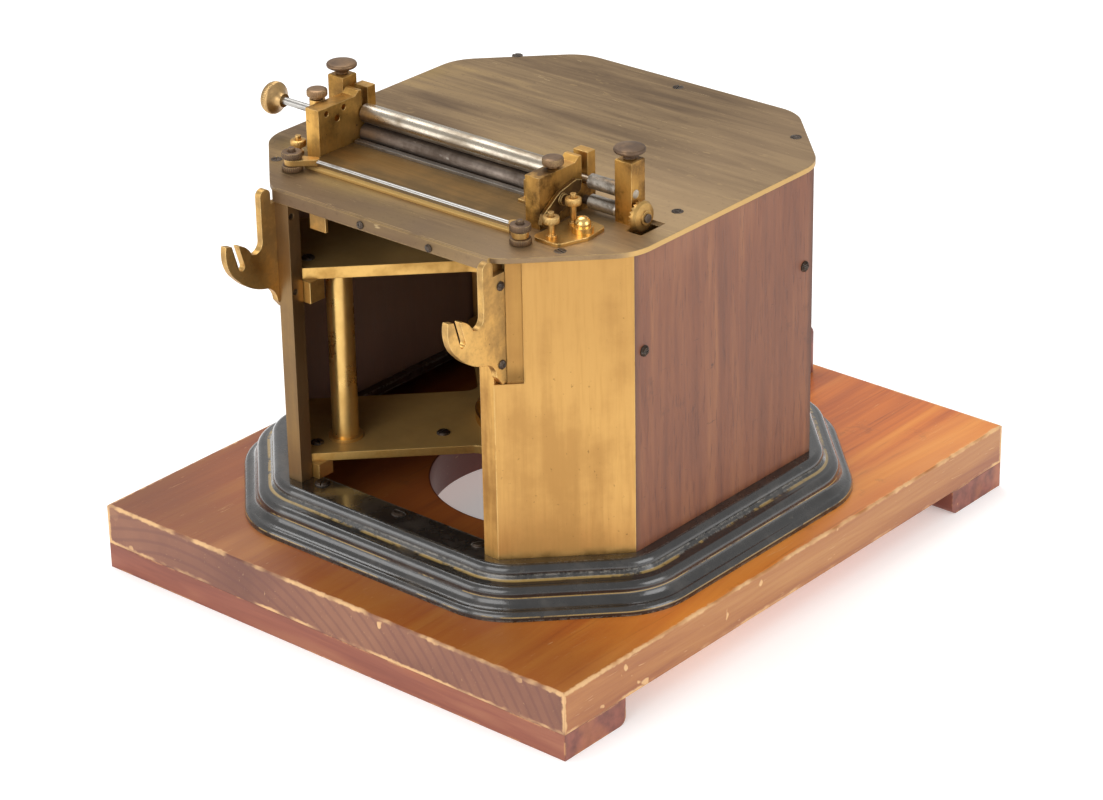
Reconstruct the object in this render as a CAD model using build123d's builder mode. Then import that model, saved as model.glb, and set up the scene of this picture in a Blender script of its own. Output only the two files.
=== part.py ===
# Tabletop printing press: an eight-sided brass and mahogany case on a cast iron base and a
# wooden board.  A pair of paper rollers, their side frames and a paper table stand on the
# brass deck, and two hook brackets on the open front hold the spindle of a paper roll.
# Millimetres, +Z up, open front towards -Y, origin at the bottom centre of the board.
from build123d import *
import math
import os

os.makedirs("parts", exist_ok=True)

# ---------------------------------------------------------------- driving dimensions
board_width = 350.0          # along X
board_depth = 412.0          # along Y
board_thickness = 25.0
cleat_height = 16.0
cleat_depth = 51.0
hole_radius = 69.0           # round hole in the board, under the case

case_size = 268.0            # the case is square in plan, with its corners cut off
case_y = -15.0               # centre of the case along Y
corner_cut = 54.0            # length cut from each side at each corner
case_height = 178.0          # of the panels
base_height = 25.0           # of the iron base
base_spread = 27.0           # how far the base stands out past the panels
brass_sheet = 2.5
wood_panel = 7.0
post_size = 10.0

deck_thickness = 3.0
seam_y = -62.0               # joint between the front deck and the rear cover

plate_upper = 7.0            # thickness of the upper cross plate
plate_lower = 5.0            # thickness of the lower cross plate
lower_plate_gap = 9.0        # from the base flange up to the lower cross plate
upper_plate_top = 130.5      # height of the upper cross plate's top above the flange

roller_y = -66.0             # the two rollers lie one above the other
lower_axis = 5.5             # height of the lower roller's axis above the deck
upper_axis = 17.5
lower_radius = 6.0
upper_radius = 5.6
journal = 2.5                # radius of every journal
running = 0.05               # radial clearance of a journal in its bearing
frame_left = (-97.0, -87.0)  # the side frames, along X
frame_right = (66.0, 76.0)
frame_front = -104.0
frame_rear = -57.0
frame_height = 29.5

square_post_x = 106.0
square_post_y = -64.0
square_post = 11.5
square_post_height = 36.4
roller_end = 120.5           # right-hand end of the lower roller's shaft

hook_sheet = 4.0             # thickness of the hook brackets

# ---------------------------------------------------------------- levels and outlines
board_bottom = cleat_height
board_top = board_bottom + board_thickness
flange_top = board_top + base_height
deck_bottom = flange_top + case_height
deck_top = deck_bottom + deck_thickness
half = case_size / 2
front_y = case_y - half
rear_y = case_y + half
jamb = half - corner_cut     # half width of the open front
lower_z = deck_top + lower_axis
upper_z = deck_top + upper_axis


def octagon(size, cut):
    """Corner points of a square with its corners cut off, centred on the case."""
    near, far = size - cut, size
    ring = [(near, -far), (far, -near), (far, near), (near, far),
            (-near, far), (-far, near), (-far, -near), (-near, -far)]
    return [(x, y + case_y) for x, y in ring]


def corner(x, y, side, end):
    """A point of the front right corner, mirrored to another corner of the case."""
    return (side * x, case_y + end * (y - case_y))


def save(piece, name):
    """Name a finished piece and write it as one STEP file."""
    piece.part.label = name
    export_step(piece.part, f"parts/{name}.step")


def upright(radius, x, y, bottom, height):
    """A vertical cylinder, joined to the part that is being built."""
    with BuildSketch(Plane.XY.offset(bottom)) as disc:
        with Locations((x, y)):
            Circle(radius)
    extrude(disc.sketch, amount=height)


def level(radius, y, z, start, end):
    """A cylinder along X from start to end, joined to the part that is being built."""
    with BuildSketch(Plane.YZ.offset(start)) as disc:
        with Locations((y, z)):
            Circle(radius)
    extrude(disc.sketch, amount=end - start)


def bore_z(radius, x, y, bottom, top):
    """A vertical round hole in the part that is being built."""
    with BuildSketch(Plane.XY.offset(bottom)) as disc:
        with Locations((x, y)):
            Circle(radius)
    extrude(disc.sketch, amount=top - bottom, mode=Mode.SUBTRACT)


def bore_x(radius, y, z, start, end):
    """A round hole along X in the part that is being built."""
    with BuildSketch(Plane.YZ.offset(start)) as disc:
        with Locations((y, z)):
            Circle(radius)
    extrude(disc.sketch, amount=end - start, mode=Mode.SUBTRACT)


def block(x0, x1, y0, y1, z0, z1, mode=Mode.ADD):
    """A box between two corners."""
    with BuildSketch(Plane.XY.offset(z0)) as footprint:
        with Locations(((x0 + x1) / 2, (y0 + y1) / 2)):
            Rectangle(abs(x1 - x0), abs(y1 - y0))
    extrude(footprint.sketch, amount=z1 - z0, mode=mode)


def round_head(origin, outward, radius, height, turn=0.0):
    """A slotted round head on a surface, joined to the part that is being built."""
    plane = Plane(origin=origin, z_dir=outward)
    with BuildSketch(plane) as rim:
        Circle(radius)
    extrude(rim.sketch, amount=height * 0.4)
    with BuildSketch(plane.offset(height * 0.4)) as dome:
        Circle(radius)
    extrude(dome.sketch, amount=height * 0.6, taper=48)
    saw_slot(plane.offset(height), radius, turn)


def saw_slot(plane, radius, turn=0.0):
    """A narrow slot sawn across the middle of a head whose top lies on the plane."""
    with BuildSketch(plane) as slot:
        Rectangle(2.2 * radius, 0.24 * radius, rotation=turn)
    extrude(slot.sketch, amount=-0.24 * radius, mode=Mode.SUBTRACT)


# ---------------------------------------------------------------- board and cleats
cleat_screw_r = 2.2
cleat_screws_at = [(x, end * (board_depth / 2 - cleat_depth / 2))
                   for x in (-140.0, 0.0, 140.0) for end in (-1, 1)]
flange_screws_at = [corner(101.5, -116.5, side, end) for side in (-1, 1) for end in (-1, 1)]
flange_screws_at += [(-60.0, -142.5), (0.0, -142.5), (60.0, -142.5)]
flange_screw_r = 2.2
screw_clear = 0.15

with BuildPart() as baseboard:
    block(-board_width / 2, board_width / 2, -board_depth / 2, board_depth / 2, board_bottom, board_top)
    chamfer(baseboard.edges().group_by(Axis.Z)[-1], 0.8)
    bore_z(hole_radius, 0, case_y, board_bottom, board_top)
    for x, y in cleat_screws_at:
        bore_z(cleat_screw_r + screw_clear, x, y, board_bottom, board_bottom + 14)
    for x, y in flange_screws_at:
        bore_z(flange_screw_r + screw_clear, x, y, board_top - 12, board_top)
save(baseboard, "baseboard")

for name, end in (("front_cleat", -1), ("rear_cleat", 1)):
    with BuildPart() as cleat:
        outer = end * board_depth / 2
        inner = end * (board_depth / 2 - cleat_depth)
        block(-board_width / 2, board_width / 2, min(outer, inner), max(outer, inner), 0, cleat_height)
        inner_edges = cleat.edges().filter_by(Axis.X).group_by(Axis.Z)[0].sort_by(Axis.Y)
        fillet(inner_edges[-1] if end < 0 else inner_edges[0], 5)
        for x, y in cleat_screws_at:
            if y * end > 0:
                bore_z(cleat_screw_r + screw_clear, x, y, 0, cleat_height)
                bore_z(5.0, x, y, 0, 3.5)
    save(cleat, name)

with BuildPart() as cleat_screws:
    for x, y in cleat_screws_at:
        upright(4.5, x, y, 0.8, 2.6)
        upright(cleat_screw_r, x, y, 3.4, 24)
save(cleat_screws, "cleat_screws")

# ---------------------------------------------------------------- cast iron base
flange_width = 13.0
flange_thickness = 5.0
boss_radius = 6.0
path_round = 24.0            # corner radius of the octagon along the panels


def at(out, down):
    """A point of the moulding's section: outwards from the panels, down from the flange."""
    return (front_y - out, flange_top - down)


with BuildPart() as base_moulding:
    with BuildLine(Plane.XY.offset(flange_top)) as rim:
        FilletPolyline(*octagon(half, corner_cut), radius=path_round, close=True)
    with BuildSketch(Plane.YZ) as moulding:
        with BuildLine():
            Line(at(0, 0), at(6, 0))
            ThreePointArc(at(6, 0), at(9.0, 2.2), at(9.5, 5.5))
            Polyline(at(9.5, 5.5), at(11.0, 7.5), at(14.5, 8.4))
            ThreePointArc(at(14.5, 8.4), at(18.2, 10.2), at(19.0, 13.5))
            ThreePointArc(at(19.0, 13.5), at(20.2, 17.3), at(23.4, 19.6))
            ThreePointArc(at(23.4, 19.6), at(26.3, 21.2), at(base_spread, 24.0))
            Polyline(at(base_spread, 24.0), at(base_spread, base_height), at(19.0, base_height),
                     at(2.0, 11.0), at(0, 11.0), at(0, 0))
        make_face()
    sweep(sections=moulding.sketch, path=rim.wire())
    with BuildSketch(Plane.XY.offset(flange_top - flange_thickness)):
        Polygon(*octagon(half + 1, corner_cut), align=None)
        Polygon(*octagon(half - flange_width, corner_cut - flange_width * 0.586), align=None,
                mode=Mode.SUBTRACT)
    extrude(amount=flange_thickness)
    for x, y in flange_screws_at:
        upright(boss_radius, x, y, board_top, base_height - flange_thickness)
    for x, y in flange_screws_at:
        bore_z(flange_screw_r + screw_clear, x, y, board_top, flange_top)
save(base_moulding, "base_moulding")

with BuildPart() as base_screws:
    for x, y in flange_screws_at:
        upright(flange_screw_r, x, y, board_top - 11, base_height + 11)
        round_head((x, y, flange_top), (0, 0, 1), 4.4, 1.6, turn=x)
save(base_screws, "base_screws")

# ---------------------------------------------------------------- case: posts and panels
corners = ((-1, 1), (1, 1), (-1, -1), (1, -1))       # side, and 1 for the front
bracket_screws_at = ((-146.4, 231.0), (-146.4, 185.0))      # Y and Z, into the front posts
bracket_foot = 173.0
bracket_screw_r = 1.8
bracket_notch = jamb + hook_sheet + 0.2      # the front sheets are cut back to here
recess_end = jamb + 11.5                     # and are thinner from there to here
recess_depth = 1.4

with BuildPart() as corner_posts:
    for side, end in corners:
        x0, y0 = corner(jamb - post_size, front_y, side, end)
        x1, y1 = corner(jamb, front_y + post_size - 1, side, end)
        block(x0, x1, min(y0, y1), max(y0, y1), flange_top, deck_bottom)
    for y, z in bracket_screws_at:
        bore_x(bracket_screw_r + screw_clear, y, z, -jamb, jamb)
save(corner_posts, "corner_posts")


def corner_sheet(side, end):
    """The slanting brass sheet of one corner, from the base up to the deck."""
    slant = brass_sheet * math.sqrt(2)
    outline = [corner(x, y, side, end) for x, y in
               ((jamb, front_y), (half, front_y + corner_cut), (half - slant, front_y + corner_cut),
                (jamb, front_y + slant))]
    with BuildSketch(Plane.XY.offset(flange_top)) as sheet:
        Polygon(*outline, align=None)
    extrude(sheet.sketch, amount=case_height)


for name, side in (("left", -1), ("right", 1)):
    with BuildPart() as panel:
        corner_sheet(side, 1)
        block(side * (jamb - 1), side * bracket_notch, front_y - 1, front_y + 12, bracket_foot - 0.4,
              deck_bottom, mode=Mode.SUBTRACT)
        floor = front_y - jamb + recess_depth * math.sqrt(2)
        recess = [corner(x, y, side, 1) for x, y in
                  ((bracket_notch - 1, front_y), (recess_end, front_y), (recess_end, recess_end + floor),
                   (bracket_notch - 1, bracket_notch - 1 + floor))]
        with BuildSketch(Plane.XY.offset(bracket_foot - 0.4)) as thinned:
            Polygon(*recess, align=None)
        extrude(thinned.sketch, amount=case_height, mode=Mode.SUBTRACT)
    save(panel, f"{name}_corner_panel")

with BuildPart() as rear_corner_panels:
    for side in (-1, 1):
        corner_sheet(side, -1)
save(rear_corner_panels, "rear_corner_panels")

panel_screws_at = [(y, 186.0) for y in (-87.2, 57.2)]       # Y and Z on the side panels
panel_screw_r = 1.9
for name, side in (("left_side_panel", -1), ("right_side_panel", 1)):
    with BuildPart() as panel:
        block(min(side * half, side * (half - wood_panel)), max(side * half, side * (half - wood_panel)),
              front_y + corner_cut, rear_y - corner_cut, flange_top, deck_bottom)
        for y, z in panel_screws_at:
            bore_x(panel_screw_r + screw_clear, y, z, -half if side < 0 else half - wood_panel,
                   -half + wood_panel if side < 0 else half)
    save(panel, name)

back_screws_at = [(x, z) for x in (-62.0, 62.0) for z in (84.0, 186.0)]
with BuildPart() as back_panel:
    block(-jamb + post_size, jamb - post_size, rear_y - wood_panel, rear_y, flange_top, deck_bottom)
    with BuildSketch(Plane.XZ.offset(-rear_y)):
        for x, z in back_screws_at:
            with Locations((x, z)):
                Circle(panel_screw_r + screw_clear)
    extrude(amount=wood_panel, mode=Mode.SUBTRACT)
save(back_panel, "back_panel")

head_r = 3.2
with BuildPart() as case_screws:
    for side in (-1, 1):
        for y, z in panel_screws_at:
            level(panel_screw_r, y, z, min(side * half, side * (half - 12)),
                  max(side * half, side * (half - 12)))
            round_head((side * half, y, z), (side, 0, 0), head_r, 1.9, turn=y)
    for x, z in back_screws_at:
        with BuildSketch(Plane.XZ.offset(-rear_y)):
            with Locations((x, z)):
                Circle(panel_screw_r)
        extrude(amount=12)
        round_head((x, rear_y, z), (0, 1, 0), head_r, 1.9, turn=z)
    for side in (-1, 1):
        face = side * (jamb + hook_sheet)
        for y, z in bracket_screws_at:
            level(bracket_screw_r, y, z, min(face, face - side * 13), max(face, face - side * 13))
            round_head((face, y, z), (side, 0, 0), 2.7, 1.7, turn=z)
save(case_screws, "case_screws")

# ---------------------------------------------------------------- cross plates and pillars
notch_depth = 82.0           # from the front of the case to the point of each V
arm_reach = 124.5            # half size of the cross plates
arm_cut = 40.5               # length cut from the cross plates' corners
arm_round = 8.0
centre_hole = 36.0
pillar_x = 72.0
pillar_y = 94.0              # from the centre of the case
pillar_r = 7.8
lower_plate_bottom = flange_top + lower_plate_gap
lower_plate_top = lower_plate_bottom + plate_lower
upper_plate_bottom = flange_top + upper_plate_top - plate_upper
pillars_at = [(sx * pillar_x, case_y + sy * pillar_y) for sx in (-1, 1) for sy in (-1, 1)]
apex = half - notch_depth


def cross_plate(bottom, thickness):
    """A flat cross: the inside of the case, less a V cut into each of the four sides."""
    with BuildPart() as cross:
        with BuildSketch(Plane.XY.offset(bottom)):
            Polygon(*octagon(arm_reach, arm_cut), align=None)
            for turn in range(4):
                v = [(0, -apex), (half, -apex - half), (-half, -apex - half)]
                angle = math.radians(90 * turn)
                turned = [(x * math.cos(angle) - y * math.sin(angle),
                           x * math.sin(angle) + y * math.cos(angle) + case_y) for x, y in v]
                Polygon(*turned, align=None, mode=Mode.SUBTRACT)
        extrude(amount=thickness)
        fillet(cross.edges().filter_by(Axis.Z).sort_by_distance((0, case_y, bottom))[0:4], arm_round)
        bore_z(centre_hole, 0, case_y, bottom, bottom + thickness)
    return cross


lower_cross = cross_plate(lower_plate_bottom, plate_lower)
save(lower_cross, "lower_cross_plate")
upper_cross = cross_plate(upper_plate_bottom, plate_upper)
save(upper_cross, "upper_cross_plate")

with BuildPart() as pillars:
    for x, y in pillars_at:
        upright(pillar_r, x, y, lower_plate_top, upper_plate_bottom - lower_plate_top)
        upright(pillar_r + 2.4, x, y, lower_plate_top, 2)
        upright(pillar_r + 0.9, x, y, upper_plate_bottom - 3, 3)
save(pillars, "pillars")

with BuildPart() as bearing_ring:
    upright(centre_hole + 5, 0, case_y, lower_plate_top, 6)
    bore_z(centre_hole, 0, case_y, lower_plate_top, lower_plate_top + 6)
    chamfer(bearing_ring.edges().group_by(Axis.Z)[-1], 0.8)
save(bearing_ring, "bearing_ring")

with BuildPart() as corner_blocks:
    for side, end in corners:
        x0, y0 = corner(65.0, front_y + 9.5, side, end)
        x1, y1 = corner(79.5, front_y + 21.0, side, end)
        block(x0, x1, min(y0, y1), max(y0, y1), flange_top, lower_plate_bottom)
        block(x0, x1, min(y0, y1), max(y0, y1), upper_plate_bottom - 13, upper_plate_bottom)
save(corner_blocks, "corner_blocks")

with BuildPart() as plate_screws:
    for side in (-1, 1):
        for end in (-1, 1):
            for x, y, top in ((79.0, -126.0, lower_plate_top), (30.0, -71.0, lower_plate_top),
                              (79.0, -126.0, upper_plate_bottom + plate_upper)):
                sx, sy = corner(x, y, side, end)
                round_head((sx, sy, top), (0, 0, 1), 4.0, 1.4, turn=sx + sy)
save(plate_screws, "plate_screws")

# ---------------------------------------------------------------- deck, cover and fascia
deck_screws_at = [(-108.0, -118.0), (103.0, -119.0), (118.0, -38.0), (103.0, 89.5), (-111.0, 94.0),
                  (-118.0, -38.0), (0.0, 111.0)]
deck_screw_r = 3.3
gear_slot = (112.6, 123.6, -76.5, -55.5)     # opening for the crown gear: X from, to, Y from, to
roller_slot = (-86.9, 65.9, -73.4, -58.6)
fascia_drop = 7.7
fascia_sheet = 2.0
overhang = 2.2               # how far the deck and the cover stand out past the panels
deck_round = 28.0            # radius of their corners in plan


def deck_plate(y0, y1):
    """The part of the eight-sided top between two values of Y, with its holes."""
    with BuildPart() as plate:
        with BuildSketch(Plane.XY.offset(deck_bottom)) as outline:
            Polygon(*octagon(half + overhang, corner_cut + 0.586 * overhang), align=None)
            fillet(outline.vertices(), deck_round)
            with Locations((0, (y0 + y1) / 2)):
                Rectangle(case_size + 10, y1 - y0, mode=Mode.INTERSECT)
            with Locations((0, front_y - overhang)):
                Rectangle(2 * jamb - 1, 2 * overhang, mode=Mode.SUBTRACT)
        extrude(amount=deck_thickness)
        for x0, x1, ya, yb in (gear_slot, roller_slot):
            block(x0, x1, ya, yb, deck_bottom, deck_top, mode=Mode.SUBTRACT)
        for x, y in deck_screws_at:
            if y0 < y < y1:
                bore_z(deck_screw_r + 0.1, x, y, deck_top - 1.6, deck_top)
    return plate


front_deck = deck_plate(front_y - overhang, seam_y)
save(front_deck, "front_deck")
rear_cover = deck_plate(seam_y, rear_y + overhang)
save(rear_cover, "rear_cover")

fascia_screws_at = ((-12.5, 242.5), (37.5, 242.0))          # X and Z
with BuildPart() as front_fascia:
    block(-jamb + 0.5, jamb - 0.5, front_y - fascia_sheet, front_y, deck_top - fascia_drop, deck_top)
    chamfer(front_fascia.edges().filter_by(Axis.X).group_by(Axis.Z)[-1].sort_by(Axis.Y)[0], 0.6)
save(front_fascia, "front_fascia")

with BuildPart() as deck_screws:
    for x, y in deck_screws_at:
        upright(deck_screw_r, x, y, deck_top - 1.6, 1.8)
        saw_slot(Plane((x, y, deck_top + 0.2)), deck_screw_r, turn=x + y)
    for x, z in fascia_screws_at:
        round_head((x, front_y - fascia_sheet, z), (0, -1, 0), 2.3, 1.6, turn=x)
save(deck_screws, "deck_screws")

# ---------------------------------------------------------------- hook brackets
arm_front = -160.0
bracket_rear = -140.0
slot_width = 4.4
slot_run = 17.5
slot_lean = math.radians(17)
slot_mouth = (-182.0, 224.5)                 # Y and Z

for name, side in (("left_hook_bracket", -1), ("right_hook_bracket", 1)):
    start = jamb if side > 0 else -jamb - hook_sheet
    with BuildPart() as bracket:
        with BuildSketch(Plane.YZ.offset(start)):
            with BuildLine():
                Polyline((bracket_rear, bracket_foot), (bracket_rear, 238.0), (front_y - 3, 238.0),
                         (front_y - 3, 244.0))
                ThreePointArc((front_y - 3, 244.0), (-156.0, 247.6), (arm_front, 244.0))
                Line((arm_front, 244.0), (arm_front, 218.0))
                ThreePointArc((arm_front, 218.0), (-161.5, 213.8), (-165.5, 211.8))
                Line((-165.5, 211.8), (-168.5, 212.6))
                ThreePointArc((-168.5, 212.6), (-171.5, 217.0), (-176.5, 220.5))
                Line((-176.5, 220.5), (-188.0, 223.5))
                ThreePointArc((-188.0, 223.5), (-187.5, 211.0), (-181.0, 201.5))
                ThreePointArc((-181.0, 201.5), (-170.5, 193.0), (-158.0, 188.5))
                ThreePointArc((-158.0, 188.5), (-152.6, 184.5), (-150.5, 178.5))
                Polyline((-150.5, 178.5), (-146.0, bracket_foot), (bracket_rear, bracket_foot))
            make_face()
            with BuildLine():
                along = Vector(math.sin(slot_lean), -math.cos(slot_lean))
                across = Vector(math.cos(slot_lean), math.sin(slot_lean)) * (slot_width / 2)
                mouth = Vector(*slot_mouth)
                end = mouth + along * slot_run
                Line(mouth - across, end - across)
                ThreePointArc(end - across, end + along * (slot_width / 2), end + across)
                Polyline(end + across, mouth + across, mouth - across)
            make_face(mode=Mode.SUBTRACT)
        extrude(amount=hook_sheet)
        for y, z in bracket_screws_at:
            bore_x(bracket_screw_r + screw_clear, y, z, start, start + hook_sheet)
    save(bracket, name)

# ---------------------------------------------------------------- rollers, frames, table
with BuildPart() as paper_table:
    block(frame_left[1] + 0.4, frame_right[0] - 0.4, -117.5, roller_slot[2], deck_top, deck_top + 2.5)
    chamfer(paper_table.edges().filter_by(Axis.X).group_by(Axis.Z)[-1].sort_by(Axis.Y)[0], 1.0)
save(paper_table, "paper_table")

with BuildPart() as guide_strip:
    block(-85.5, 60.0, -77.4, -73.8, deck_top + 2.5, deck_top + 4.3)
save(guide_strip, "guide_strip")

with BuildPart() as guide_tab:
    block(44.0, 50.0, -80.0, -77.9, deck_top + 2.5, deck_top + 13.5)
    block(44.0, 50.0, -85.0, -80.0, deck_top + 2.5, deck_top + 3.7)
save(guide_tab, "guide_tab")

thumb_x, thumb_y = 71.0, -86.5
thumb_r = 2.0
lever_pivot = (-88.0, deck_top + 13.5)
lever_pin_r = 2.0
for name, (x0, x1) in (("left_side_frame", frame_left), ("right_side_frame", frame_right)):
    with BuildPart() as side_frame:
        with BuildSketch(Plane.YZ.offset(x0)):
            with BuildLine():
                top = deck_top + frame_height
                Polyline((frame_front, deck_top), (frame_front, top), (-74.0, top), (-71.0, top + 2.5),
                         (frame_rear, top + 2.5), (frame_rear, deck_top), (frame_front, deck_top))
            make_face()
            with Locations((roller_y, lower_z)):
                Circle(journal + running, mode=Mode.SUBTRACT)
            with Locations((roller_y, upper_z)):
                Circle(journal + running, mode=Mode.SUBTRACT)
            with Locations((roller_y, upper_z + 10)):
                Rectangle(2 * (journal + running), 20, mode=Mode.SUBTRACT)
        extrude(amount=x1 - x0)
        if x0 > 0:
            bore_z(thumb_r + running, thumb_x, thumb_y, top - 10, top)
            bore_x(lever_pin_r + running, *lever_pivot, x1 - 6, x1)
        else:
            for y, drop, radius in ((-97.7, 3.6, 1.7), (-83.5, 3.6, 1.7), (-89.0, 8.5, 2.1)):
                bore_x(radius, y, top - drop, x1 - 4, x1)
    save(side_frame, name)

sleeve = (80.2, square_post_x - square_post / 2 - 0.4)
for name, z, radius, end in (("upper_roller", upper_z, upper_radius, square_post_x + square_post / 2),
                             ("lower_roller", lower_z, lower_radius, roller_end)):
    with BuildPart() as roller:
        level(radius, roller_y, z, frame_left[1] + 0.3, frame_right[0] - 0.3)
        chamfer(roller.edges(), 0.4)
        level(journal, roller_y, z, frame_left[0] + 0.3, frame_left[1] + 0.4)
        level(journal, roller_y, z, frame_right[0] - 0.4, end)
    save(roller, name)

for name, z, radius in (("upper_sleeve", upper_z, 4.2), ("lower_sleeve", lower_z, 4.2)):
    with BuildPart() as coupling:
        level(radius, roller_y, z, *sleeve)
        chamfer(coupling.edges(), 0.4)
        bore_x(journal, roller_y, z, *sleeve)
    save(coupling, name)

gear_face = square_post_x + square_post / 2 + 1.3   # inner face of the crown gear's rim
gear_r = 9.0
gear_teeth = 24
with BuildPart() as crown_gear:
    level(gear_r - 0.9, roller_y, lower_z, gear_face + 2.4, gear_face + 4.4)
    with BuildSketch(Plane.YZ.offset(gear_face + 0.9)):
        with Locations((roller_y, lower_z)):
            Circle(gear_r)
            Circle(gear_r - 2.2, mode=Mode.SUBTRACT)
    extrude(amount=3.0)
    with BuildSketch(Plane.YZ.offset(gear_face)):
        with Locations((roller_y, lower_z)):
            with PolarLocations(gear_r - 1.1, gear_teeth):
                Rectangle(2.2, 1.15)
    extrude(amount=0.9)
    level(4.2, roller_y, lower_z, gear_face + 4.4, gear_face + 6.4)
    bore_x(journal, roller_y, lower_z, gear_face, gear_face + 6.4)
save(crown_gear, "crown_gear")

# ---------------------------------------------------------------- square posts and their knobs
knob_stem_r = 2.5
for name, side in (("left", -1), ("right", 1)):
    x = side * square_post_x
    post_top = deck_top + square_post_height
    with BuildPart() as square:
        half_post = square_post / 2
        block(x - half_post, x + half_post, square_post_y - half_post, square_post_y + half_post,
              deck_top, post_top)
        chamfer(square.edges().group_by(Axis.Z)[-1], 0.6)
        bore_z(knob_stem_r + running, x, square_post_y, post_top - 9, post_top)
        if side > 0:
            bore_x(journal + running, roller_y, lower_z, x - half_post, x + half_post)
            bore_x(journal + running, roller_y, upper_z, x - half_post, x + half_post)
    save(square, f"{name}_square_post")

    with BuildPart() as knob:
        with BuildSketch(Plane.XZ.offset(-square_post_y)):
            with BuildLine():
                z = post_top
                Polyline((x, z - 8), (x + knob_stem_r, z - 8), (x + knob_stem_r, z + 0.3), (x + 3.6, z + 0.3))
                ThreePointArc((x + 3.6, z + 0.3), (x + 4.4, z + 2.6), (x + 7.9, z + 3.8))
                ThreePointArc((x + 7.9, z + 3.8), (x + 8.9, z + 5.2), (x + 8.2, z + 6.6))
                ThreePointArc((x + 8.2, z + 6.6), (x + 5.0, z + 7.2), (x + 2.0, z + 7.4))
                Polyline((x + 2.0, z + 7.4), (x, z + 7.4), (x, z - 8))
            make_face()
        revolve(axis=Axis((x, square_post_y, 0), (0, 0, 1)))
    save(knob, f"{name}_flat_knob")

# ---------------------------------------------------------------- clamp knob and thumb screws
clamp_x, clamp_y = -102.6, -88.5
clamp_z = deck_top + 21.5
spindle_r = 2.25
thumb_head = 6.0
clamp_top = deck_top + 29.0

with BuildPart() as clamp_post:
    upright(4.6, clamp_x, clamp_y, deck_top + 2.0, clamp_top - deck_top - 2.0)
    upright(6.4, clamp_x - 1.2, clamp_y, deck_top, 2.0)
    bore_x(spindle_r + running, clamp_y, clamp_z, clamp_x - 6, clamp_x + 6)
    bore_z(thumb_r + running, clamp_x, clamp_y, clamp_z, clamp_top)
save(clamp_post, "clamp_post")

with BuildPart() as side_spindle:
    level(spindle_r, clamp_y, clamp_z, -133.0, clamp_x + 4.9)
save(side_spindle, "side_spindle")

with BuildPart() as side_knob:
    with BuildSketch(Plane.XY.offset(clamp_z)):
        with BuildLine():
            y = clamp_y
            Line((-141.2, y), (-141.2, y + 2.0))
            ThreePointArc((-141.2, y + 2.0), (-140.6, y + 5.6), (-139.4, y + 9.0))
            ThreePointArc((-139.4, y + 9.0), (-137.2, y + 9.6), (-135.0, y + 9.0))
            ThreePointArc((-135.0, y + 9.0), (-132.8, y + 5.4), (-129.0, y + 4.0))
            Polyline((-129.0, y + 4.0), (-129.0, y), (-141.2, y))
        make_face()
    revolve(axis=Axis((0, clamp_y, clamp_z), (1, 0, 0)))
    bore_x(spindle_r, clamp_y, clamp_z, -133.0, -129.0)
save(side_knob, "side_knob")

for name, x, y, seat, depth in (("left_thumb_screw", clamp_x, clamp_y, clamp_top, 4.5),
                                ("right_thumb_screw", thumb_x, thumb_y, deck_top + frame_height, 9.0)):
    with BuildPart() as thumb:
        upright(thumb_r, x, y, seat - depth, depth + 1.0)
        upright(3.4, x, y, seat + 0.3, 1.5)
        upright(thumb_head, x, y, seat + 1.8, 4.4)
        chamfer(thumb.edges().group_by(Axis.Z)[-1], 0.7)
    save(thumb, name)

# ---------------------------------------------------------------- tension rod at the front
rod_y = -116.5
rod_z = deck_top + 5.4
rod_r = 1.3
nut_r = 6.0
rod_sides = (("left", -89.5, -124.0, -79.0), ("right", 79.5, -124.0, 68.0))
with BuildPart() as rod_studs:
    for name, x, y, tip in rod_sides:
        upright(6.2, x, y, deck_top, 3.6)
    chamfer(rod_studs.edges(), 0.6)
    for name, x, y, tip in rod_sides:
        upright(2.0, x, y, deck_top + 3.6, 10.0)
save(rod_studs, "rod_studs")

with BuildPart() as rod_arms:
    for name, x, y, tip in rod_sides:
        with BuildSketch(Plane.XY.offset(deck_top + 3.7)):
            with Locations((x, y)):
                Circle(4.6)
            with Locations((tip, rod_y)):
                Circle(2.6)
            make_hull()
        extrude(amount=3.4)
    for name, x, y, tip in rod_sides:
        bore_z(2.1, x, y, deck_top + 3.7, deck_top + 7.1)
        bore_x(rod_r, rod_y, rod_z, tip - 4, tip + 4)
save(rod_arms, "rod_arms")

for name, x, y, tip in rod_sides:
    with BuildPart() as nut:
        upright(nut_r, x, y, deck_top + 7.4, 4.0)
        chamfer(nut.edges(), 0.8)
        bore_z(2.0 + running, x, y, deck_top + 7.4, deck_top + 11.4)
    save(nut, f"{name}_rod_nut")

with BuildPart() as tension_rod:
    level(rod_r, rod_y, rod_z, rod_sides[0][3] - 2.6, rod_sides[1][3] + 2.6)
save(tension_rod, "tension_rod")

# ---------------------------------------------------------------- release lever and screws
with BuildPart() as release_lever:
    with BuildSketch(Plane.YZ.offset(frame_right[1] + 0.3)):
        with BuildLine():
            y, z = lever_pivot
            Polyline((y - 18.0, z - 9.5), (y - 14.5, z - 12.0), (y + 4.0, z - 5.0), (y + 15.5, z + 0.5),
                     (y + 16.5, z + 6.0), (y + 12.0, z + 7.6), (y - 2.0, z + 4.6), (y - 16.0, z - 4.4),
                     (y - 18.0, z - 9.5))
        make_face()
    extrude(amount=2.4)
    level(lever_pin_r, *lever_pivot, frame_right[1] - 5.6, frame_right[1] + 0.4)
    level(3.2, *lever_pivot, frame_right[1] + 2.7, frame_right[1] + 4.3)
save(release_lever, "release_lever")

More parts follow.
